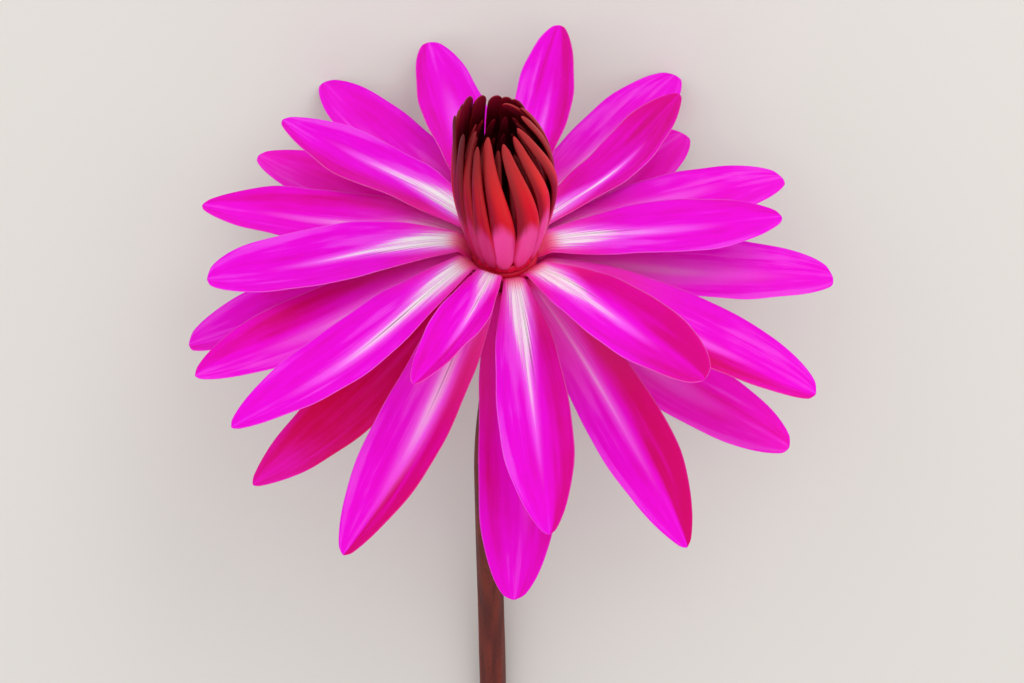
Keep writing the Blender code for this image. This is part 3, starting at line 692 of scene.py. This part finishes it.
def cut_depth(radius, angle):
    """How deep the cut end is at a point: the air canals are round pits with steep walls."""
    depth = CUT_RIM * smooth_step((radius - 3.4) / 0.4)
    for distance, bearing, size in CANALS:
        x = radius * np.cos(angle) - distance * math.cos(math.radians(bearing))
        y = radius * np.sin(angle) - distance * math.sin(math.radians(bearing))
        depth = np.maximum(depth, CANAL_DEPTH * smooth_step((size - np.hypot(x, y)) / 0.12 + 0.5))
    return depth


def add_stem(material):
    """The stem: a faintly ribbed tube along its route, flared where it joins the receptacle, and a
    cut end whose rings run inwards and down into the air canals. Its place holds the share of the way,
    which goes on past 1 over the cut, and how deep in a canal."""
    route, distance = stem_route(STEM_ROWS)
    tangent = unit(np.gradient(route, axis=0))
    side = unit(np.cross(tangent, (0.0, 0.0, 1.0)))
    above = np.cross(side, tangent)
    angle = -once_round(STEM_ROUND)
    wander = 0.5 * np.sin(distance / 31.0)[:, None]
    ribs = STEM_RIB_DEPTH * (np.cos(STEM_RIBS * (angle + wander)) - 1.0)
    ribs = ribs * smooth_step(distance / 12.0)[:, None]
    swell = STEM_SWELL * (np.sin(distance / 9.0 + 1.3 * np.sin(distance / 23.0)) - 1.0)[:, None]
    flare = STEM_FLARE * np.exp(-distance / 3.0)[:, None]
    low = np.clip(np.sin(angle), -1.0, 0.0) ** 2 * smooth_step(distance / 60.0)[:, None]
    radius = STEM_RADIUS + (ribs + swell) * (1.0 - low) + flare
    shrinking = np.linspace(1.0, CUT_CENTRE, CUT_RINGS + 1)[1:]
    inward = shrinking[:, None] * radius[-1]
    depth = np.concatenate([0.0 * radius, cut_depth(inward, angle)])
    radius = np.concatenate([radius, inward])
    share = np.concatenate([distance / distance[-1], 2.0 - shrinking])[:, None]
    route, tangent, side, above = (
        np.pad(values, ((0, CUT_RINGS), (0, 0)), mode="edge")[:, None]
        for values in (route, tangent, side, above)
    )
    outward = np.cos(angle)[..., None] * side + np.sin(angle)[..., None] * above
    rings = route + radius[..., None] * outward - depth[..., None] * tangent
    place = marks_like(rings, 0.0, share, depth / CANAL_DEPTH)
    rings = rings * MM + np.array((BLOOM.translation.x, BLOOM.translation.y, 0.0))
    add_piece("stem", [skin_of(rings, place=place)], material)


# Materials

def linear(colour):
    """A screen colour, 0 to 255, as a shader takes it."""
    screen = np.array(colour) / 255.0
    light = np.where(screen <= 0.04045, screen / 12.92, ((screen + 0.055) / 1.055) ** 2.4)
    return (*light.tolist(), 1.0)


def fill(tree, node, inputs):
    """Fills a node's inputs with values or other nodes' sockets."""
    for key, value in inputs.items():
        if isinstance(value, bpy.types.NodeSocket):
            tree.links.new(value, node.inputs[key])
        else:
            node.inputs[key].default_value = value


def add_node(tree, kind, inputs, **settings):
    """Adds a node, sets its properties and fills its inputs."""
    node = tree.nodes.new(kind)
    for name, value in settings.items():
        setattr(node, name, value)
    fill(tree, node, inputs)
    return node


def maths(tree, operation, first, second=0.0, third=0.0):
    """The result of a Math node."""
    values = {0: first, 1: second, 2: third}
    return add_node(tree, "ShaderNodeMath", values, operation=operation).outputs[0]


def times(tree, first, second):
    """One value by another."""
    return maths(tree, "MULTIPLY", first, second)


def raised(tree, value, factor, base):
    """A value by a factor, on top of a base."""
    return maths(tree, "MULTIPLY_ADD", value, factor, base)


def swayed(tree, noise, amount, base):
    """A base that noise moves up and down: where the noise is one half, it stays."""
    return raised(tree, maths(tree, "SUBTRACT", noise, 0.5), amount, base)


def eased(tree, value, low, high, top=1.0):
    """0 at low, top at high, eased between."""
    inputs = {"Value": value, "From Min": low, "From Max": high, "To Max": top}
    return add_node(tree, "ShaderNodeMapRange", inputs, interpolation_type="SMOOTHSTEP").outputs[0]


def blended(tree, share, first, second):
    """Two colours mixed by a share, each a socket or a screen colour. The Mix node has its colours at
    inputs 6 and 7 and output 2."""
    first, second = (linear(end) if isinstance(end, tuple) else end for end in (first, second))
    return add_node(tree, "ShaderNodeMix", {0: share, 6: first, 7: second}, data_type="RGBA").outputs[2]


def painted(tree, colour, coat, value, low, high, top=1.0):
    """A coat painted over a colour as a value goes from low to high."""
    return blended(tree, eased(tree, value, low, high, top), colour, coat)


def effect(tree, group, **inputs):
    """Places a shared group with its own values, and gives its outputs."""
    return add_node(tree, "ShaderNodeGroup", inputs, node_tree=group).outputs


def parts_of(tree, vector):
    """The three numbers of a vector."""
    return add_node(tree, "ShaderNodeSeparateXYZ", {0: vector}).outputs


def object_place(tree):
    """A point's place on its piece, in metres."""
    return tree.nodes.new("ShaderNodeTexCoord").outputs["Object"]


def attribute(tree, name):
    """A vector that the mesh carries."""
    return add_node(tree, "ShaderNodeAttribute", {}, attribute_name=name).outputs["Vector"]


def stretched_noise(tree, vector, stretch, detail):
    """Noise in a space that is stretched along each axis."""
    space = add_node(tree, "ShaderNodeVectorMath", {0: vector, 1: stretch}, operation="MULTIPLY")
    inputs = {"Vector": space.outputs[0], "Scale": 1.0, "Detail": detail, "Roughness": 0.55}
    return add_node(tree, "ShaderNodeTexNoise", inputs).outputs[0]


def new_group(name, inputs, outputs):
    """An empty shader group with named sockets, each Float, Color or Vector. Returns its tree, its input
    sockets and its output node."""
    tree = bpy.data.node_groups.new(name, "ShaderNodeTree")
    for way, sockets in (("INPUT", inputs), ("OUTPUT", outputs)):
        for socket, kind in sockets.items():
            tree.interface.new_socket(socket, in_out=way, socket_type=f"NodeSocket{kind}")
    taken = tree.nodes.new("NodeGroupInput").outputs
    return tree, taken, tree.nodes.new("NodeGroupOutput")


def fibre_group():
    """Fine lines that run from root to tip, closing up with the blade, and where the thinnest are."""
    tree, taken, end = new_group(
        "fibres", {"Place": "Vector", "Fineness": "Float"}, {"Lines": "Float", "Threads": "Float"},
    )
    across, along, upper = parts_of(tree, taken["Place"])
    spread = times(tree, across, taken["Fineness"])
    inputs = {0: spread, 1: times(tree, along, 2.2), 2: times(tree, upper, 5.0)}
    space = add_node(tree, "ShaderNodeCombineXYZ", inputs).outputs[0]
    lines = stretched_noise(tree, space, (1.0, 1.0, 1.0), 3.0)
    ridges = stretched_noise(tree, space, (0.4, 0.2, 1.0), 0.0)
    from_middle = maths(tree, "ABSOLUTE", maths(tree, "SUBTRACT", ridges, 0.5))
    threads = eased(tree, from_middle, 0.025, 0.008)
    fill(tree, end, {"Lines": lines, "Threads": threads})
    return tree


def grain_group():
    """The cells of a plant's skin: a very fine grain and soft, broad patches."""
    tree, taken, end = new_group("skin_grain", {"Grain": "Float"}, {"Cells": "Float", "Patches": "Float"})
    spot = object_place(tree)
    cells = add_node(tree, "ShaderNodeTexNoise", {"Vector": spot, "Scale": taken["Grain"], "Detail": 1.0})
    patches = add_node(tree, "ShaderNodeTexNoise", {"Vector": spot, "Scale": 90.0, "Detail": 2.0})
    fill(tree, end, {"Cells": cells.outputs[0], "Patches": patches.outputs[0]})
    return tree


def blade_group(fibres, grain):
    """The colours of a petal or sepal. Broad soft bands run between lit and blushed, the blushing partly
    the blade's own crimson and partly painted shade. The pale fan frays into fibres and carries dark
    threads, the streak is a warm lilac, and the underside has lines of its own. The root is red, with
    painted light in it, and its colour runs on along the flanks as a painted shade tint, the pink of
    light that comes through the petals above, from a share of the half width outwards and up to a share
    of the length. The rims are a little lighter."""
    inputs = {"Place": "Vector", "Tints": "Vector", "Shade Tint From": "Float", "Shade Tint Until": "Float"}
    inputs |= {name: "Color" for name in PETAL_UPPER}
    outputs = {"Colour": "Color", "Roughness": "Float", "Height": "Float"}
    tree, taken, end = new_group("blade_colours", inputs, outputs)
    across, along, upper = parts_of(tree, taken["Place"])
    fan, streak, blush_and_shade = parts_of(tree, taken["Tints"])
    sideways = maths(tree, "ABSOLUTE", across)
    lines = effect(tree, fibres, Place=taken["Place"], Fineness=20.0)
    broad = effect(tree, fibres, Place=taken["Place"], Fineness=3.2)
    cells = effect(tree, grain, Grain=2600.0)
    fine = lines["Lines"]

    # Blushing, partly the blade's own crimson and partly painted shade, mottled, banded and striped
    mottled = swayed(tree, cells["Patches"], 0.3, blush_and_shade)
    banded = swayed(tree, broad["Lines"], 1.1, mottled)
    striped = swayed(tree, fine, 0.3, banded)
    colour = painted(tree, taken["Lit"], taken["Blush And Shade"], striped, -0.1, 1.0)
    colour = painted(tree, colour, taken["Lilac"], striped, 0.06, -0.2, 0.45)

    frayed = swayed(tree, fine, 1.5, 1.0)
    pale = maths(tree, "MAXIMUM", times(tree, fan, frayed), streak)
    colour = painted(tree, colour, taken["Lilac"], pale, 0.04, 0.55)
    colour = painted(tree, colour, taken["Pale"], pale, 0.42, 0.95)
    dark = times(tree, lines["Threads"], eased(tree, fan, 0.15, 0.7, 0.9))
    colour = blended(tree, dark, colour, taken["Thread"])

    under = painted(tree, taken["Under"], taken["Under Line"], fine, 0.45, 0.75)
    colour = painted(tree, colour, under, upper, 0.3, -0.3, 0.75)
    colour = painted(tree, colour, taken["Pale"], sideways, 0.965, 0.99, 0.08)
    # Painted shade tint: the root colour runs along the flanks, the pink of light that comes through the
    # petals above where they shade this one
    flank = eased(tree, sideways, taken["Shade Tint From"], 0.95, 0.6)
    flank = times(tree, flank, eased(tree, along, taken["Shade Tint Until"], 0.06))
    root = eased(tree, along, raised(tree, fine, 0.1, 0.06), 0.03, 0.9)
    colour = blended(tree, maths(tree, "MAXIMUM", root, flank), colour, taken["Root And Shade Tint"])

    rough = raised(tree, fine, 0.2, 0.42)
    height = raised(tree, cells["Cells"], 0.25, fine)
    fill(tree, end, {"Colour": colour, "Roughness": rough, "Height": height})
    return tree


def new_material(name, **constants):
    """A material with one Principled shader, whose constant values sit on its own sockets."""
    material = bpy.data.materials.new(name)
    material.use_nodes = True
    shader = material.node_tree.nodes["Principled BSDF"]
    for socket, value in constants.items():
        shader.inputs[socket.replace("_", " ")].default_value = value
    return material, material.node_tree, shader


def finish(tree, shader, colour, roughness, height, relief, strength):
    """Colour, roughness and bump into the shader. Relief is the bump's height in metres."""
    bump = add_node(tree, "ShaderNodeBump", {"Height": height, "Distance": relief, "Strength": strength})
    fill(tree, shader, {"Base Color": colour, "Roughness": roughness, "Normal": bump.outputs["Normal"]})


def blade_material(name, group):
    """Satin, thin flesh that lets some red light through."""
    material, tree, shader = new_material(
        name, Subsurface_Weight=0.65, Subsurface_Scale=0.001, Subsurface_Radius=(3.0, 0.25, 2.0),
        Specular_IOR_Level=0.06,
    )
    colours, shade_tint_from, shade_tint_until = BLADE_FINISHES[name]
    inputs = {socket: linear(colour) for socket, colour in colours.items()}
    inputs |= {"Place": attribute(tree, "place"), "Tints": attribute(tree, "tints")}
    inputs |= {"Shade Tint From": shade_tint_from, "Shade Tint Until": shade_tint_until}
    shades = effect(tree, group, **inputs)
    finish(tree, shader, shades["Colour"], shades["Roughness"], shades["Height"], 0.00006, 0.5)
    return material


def stamen_material(fibres, grain):
    """Smooth flesh: pink feet that end in an arch, and straps from maroon to red and orange with painted
    light, with one flank darker with painted shade. The tips are dusky, the feet and tips lighter where
    the painted light is, and the inner side is painted near black as shade inside the cone, with a
    crimson end."""
    material, tree, shader = new_material(
        "stamen_red", Subsurface_Weight=0.15, Subsurface_Scale=0.001, Subsurface_Radius=(1.5, 0.1, 0.1),
        Specular_IOR_Level=0.25,
    )
    place = attribute(tree, "place")
    across, along, back = parts_of(tree, place)
    painted_light, _, _ = parts_of(tree, attribute(tree, "tints"))
    cells = effect(tree, grain, Grain=2200.0)
    fine = effect(tree, fibres, Place=place, Fineness=5.0)["Lines"]

    # Painted light: maroon where a stamen stands in shade, red to orange where it is lit
    lit = swayed(tree, fine, 0.4, painted_light)
    colour = painted(tree, (96, 0, 10), (206, 4, 22), lit, 0.0, 0.55)
    colour = painted(tree, colour, (224, 22, 26), lit, 0.5, 1.05)
    # Painted shade: one flank of each stamen darker
    colour = painted(tree, colour, (118, 0, 14), across, 0.25, -0.8, 0.85)
    # Painted light: the lit side of a stamen turns orange
    warm = times(tree, eased(tree, across, 0.1, 0.8, 0.4), painted_light)
    colour = blended(tree, warm, colour, (236, 48, 44))

    arch = raised(tree, times(tree, across, across), -0.12, 0.42)
    arch = raised(tree, painted_light, 0.06, swayed(tree, fine, 0.08, arch))
    foot = painted(tree, (168, 18, 70), (236, 74, 156), painted_light, 0.1, 0.6)
    foot = painted(tree, foot, (204, 16, 76), maths(tree, "ABSOLUTE", across), 0.55, 1.0)
    colour = painted(tree, colour, foot, maths(tree, "SUBTRACT", along, arch), 0.06, -0.08)
    tip = painted(tree, (78, 10, 18), (156, 34, 38), painted_light, 0.1, 0.6)
    colour = painted(tree, colour, tip, along, 0.62, 0.98, 0.75)
    # Painted shade inside the cone: the inner side near black, with a crimson end
    inside = painted(tree, (70, 2, 12), (130, 4, 40), along, 0.72, 0.94)
    colour = painted(tree, colour, inside, back, -0.25, -0.6, 0.9)
    ring = blended(tree, cells["Patches"], (212, 8, 56), (240, 30, 92))
    colour = painted(tree, colour, ring, along, 0.05, -0.02)

    rough = raised(tree, fine, 0.2, 0.36)
    height = raised(tree, cells["Cells"], 0.3, fine)
    finish(tree, shader, colour, rough, height, 0.0001, 0.4)
    return material


def receptacle_material(grain):
    """Crimson flesh at the rings, dull brown red towards the stem, and near black on top, under the
    stamens, as painted shade.
    """
    material, tree, shader = new_material("receptacle_rose", Specular_IOR_Level=0.3)
    _, height_mm, _ = parts_of(tree, attribute(tree, "place"))
    cells = effect(tree, grain, Grain=1800.0)
    mixed = raised(tree, cells["Patches"], 4.0, height_mm)
    colour = painted(tree, (104, 44, 36), (160, 20, 62), mixed, -16.0, -8.0)
    colour = painted(tree, colour, (212, 18, 66), mixed, -4.0, -1.0)
    # Painted shade: near black on top, under the stamens inside the cone
    colour = painted(tree, colour, (60, 0, 12), mixed, 0.5, 3.0)
    rough = raised(tree, cells["Cells"], 0.25, 0.38)
    finish(tree, shader, colour, rough, cells["Cells"], 0.0001, 0.5)
    return material


def stigma_material(grain):
    """Dark, damp red with lighter rays."""
    material, tree, shader = new_material("stigma_red", Specular_IOR_Level=0.45)
    _, _, rays = parts_of(tree, attribute(tree, "place"))
    cells = effect(tree, grain, Grain=3000.0)
    lighter = times(tree, rays, cells["Patches"])
    colour = blended(tree, lighter, (96, 4, 16), (176, 44, 48))
    rough = raised(tree, cells["Cells"], 0.3, 0.3)
    finish(tree, shader, colour, rough, cells["Cells"], 0.0002, 0.6)
    return material


def stem_material(grain):
    """Smooth, faintly downy brown red skin with soft long streaks, and a pale cut end whose air canals are
    painted darker with depth, as shade.
    """
    material, tree, shader = new_material(
        "stem_brown", Specular_IOR_Level=0.3, Sheen_Weight=0.05, Sheen_Roughness=0.5,
    )
    _, along, pit = parts_of(tree, attribute(tree, "place"))
    cells = effect(tree, grain, Grain=1500.0)
    streaks = stretched_noise(tree, object_place(tree), (420.0, 18.0, 420.0), 1.0)
    dots = stretched_noise(tree, object_place(tree), (1400.0, 700.0, 1400.0), 0.0)
    colour = painted(tree, (68, 16, 8), (109, 34, 17), streaks, 0.25, 0.75)
    reddened = times(tree, cells["Patches"], 0.5)
    colour = blended(tree, reddened, colour, (104, 22, 16))
    colour = painted(tree, colour, (52, 12, 14), dots, 0.66, 0.74, 0.35)
    cut = painted(tree, (120, 60, 48), (206, 180, 140), along, 1.02, 1.2)
    cut = painted(tree, cut, (180, 150, 112), cells["Cells"], 0.4, 0.7)
    # Painted shade: darker deeper in the air canals
    cut = painted(tree, cut, (60, 34, 26), pit, 0.05, 0.6)
    colour = painted(tree, colour, cut, along, 1.0, 1.01)
    rough = raised(tree, cells["Cells"], 0.2, 0.45)
    height = raised(tree, streaks, 1.5, cells["Cells"])
    finish(tree, shader, colour, rough, height, 0.0002, 0.5)
    return material


def make_materials():
    """Every finish of the flower, by its slot."""
    fibres, grain = fibre_group(), grain_group()
    blades = blade_group(fibres, grain)
    materials = {name: blade_material(name, blades) for name in BLADE_FINISHES}
    materials["stamen_red"] = stamen_material(fibres, grain)
    materials["receptacle_rose"] = receptacle_material(grain)
    materials["stigma_red"] = stigma_material(grain)
    materials["stem_brown"] = stem_material(grain)
    return materials


# Table, lights and camera

def add_table():
    """A plain pale floor."""
    mesh = bpy.data.meshes.new("table")
    corners = TABLE_HALF_SIDE * np.array(((-1, -1, 0), (1, -1, 0), (1, 1, 0), (-1, 1, 0)))
    mesh.from_pydata(corners.tolist(), [], [(0, 1, 2, 3)])
    material, _, _ = new_material(
        "table_pale", Base_Color=linear(TABLE_COLOUR), Roughness=0.75, Specular_IOR_Level=0.2,
    )
    mesh.materials.append(material)
    placed("table", mesh)


def add_softbox(name, place, size, power, colour):
    """A square lamp aimed at the bloom. Place is in metres from the bloom."""
    lamp = bpy.data.lights.new(name, "AREA")
    lamp.size = size
    lamp.energy = power
    lamp.color = colour
    box = placed(name, lamp)
    box.location = BLOOM.translation + Vector(place)
    box.rotation_euler = (-Vector(place)).to_track_quat("-Z", "Y").to_euler()


def add_lights():
    """Soft light from behind the bloom's right side, a weak one above the camera, and a pale room."""
    for name, lamp in LAMPS.items():
        add_softbox(name, *lamp)
    world = bpy.data.worlds.new("room")
    world.use_nodes = True
    room = {"Color": ROOM_COLOUR, "Strength": ROOM_STRENGTH}
    fill(world.node_tree, world.node_tree.nodes["Background"], room)
    bpy.context.scene.world = world


def add_camera():
    """The photograph's view: at its rise over the bloom, with the bloom's centre on its pixel."""
    lens_pixels = LENS / SENSOR_WIDTH * FRAME_WIDTH
    right = (BLOOM_PIXEL[0] - 0.5 * FRAME_WIDTH) / lens_pixels
    above = (0.5 * FRAME_HEIGHT - BLOOM_PIXEL[1]) / lens_pixels
    rise = math.radians(CAMERA_RISE)
    stand = Vector((0.0, -math.cos(rise), math.sin(rise))) * CAMERA_DISTANCE * MM
    facing = Matrix.Rotation(0.5 * math.pi - rise, 4, "X")
    pitch = Matrix.Rotation(-math.atan(above), 4, "X")
    pan = Matrix.Rotation(math.atan(right), 4, "Y")
    data = bpy.data.cameras.new("camera")
    data.lens = LENS
    data.sensor_width = SENSOR_WIDTH
    data.clip_start = 0.01
    camera = placed("camera", data)
    camera.matrix_world = BLOOM @ Matrix.Translation(stand) @ facing @ pitch @ pan
    bpy.context.scene.camera = camera


def dress():
    """Makes every piece, then the table, the lights and the camera."""
    materials = make_materials()
    add_blades(materials)
    add_crown("stamens_outer", OUTER_STAMENS, materials["stamen_red"])
    for name in HIDDEN_STAMENS:
        add_crown(name, hidden_stamens(name), materials["stamen_red"])
    add_receptacle(materials["receptacle_rose"])
    add_stigma_disc(materials["stigma_red"])
    add_stem(materials["stem_brown"])
    add_table()
    add_lights()
    add_camera()
    bpy.context.scene.view_settings.view_transform = "Standard"


dress()
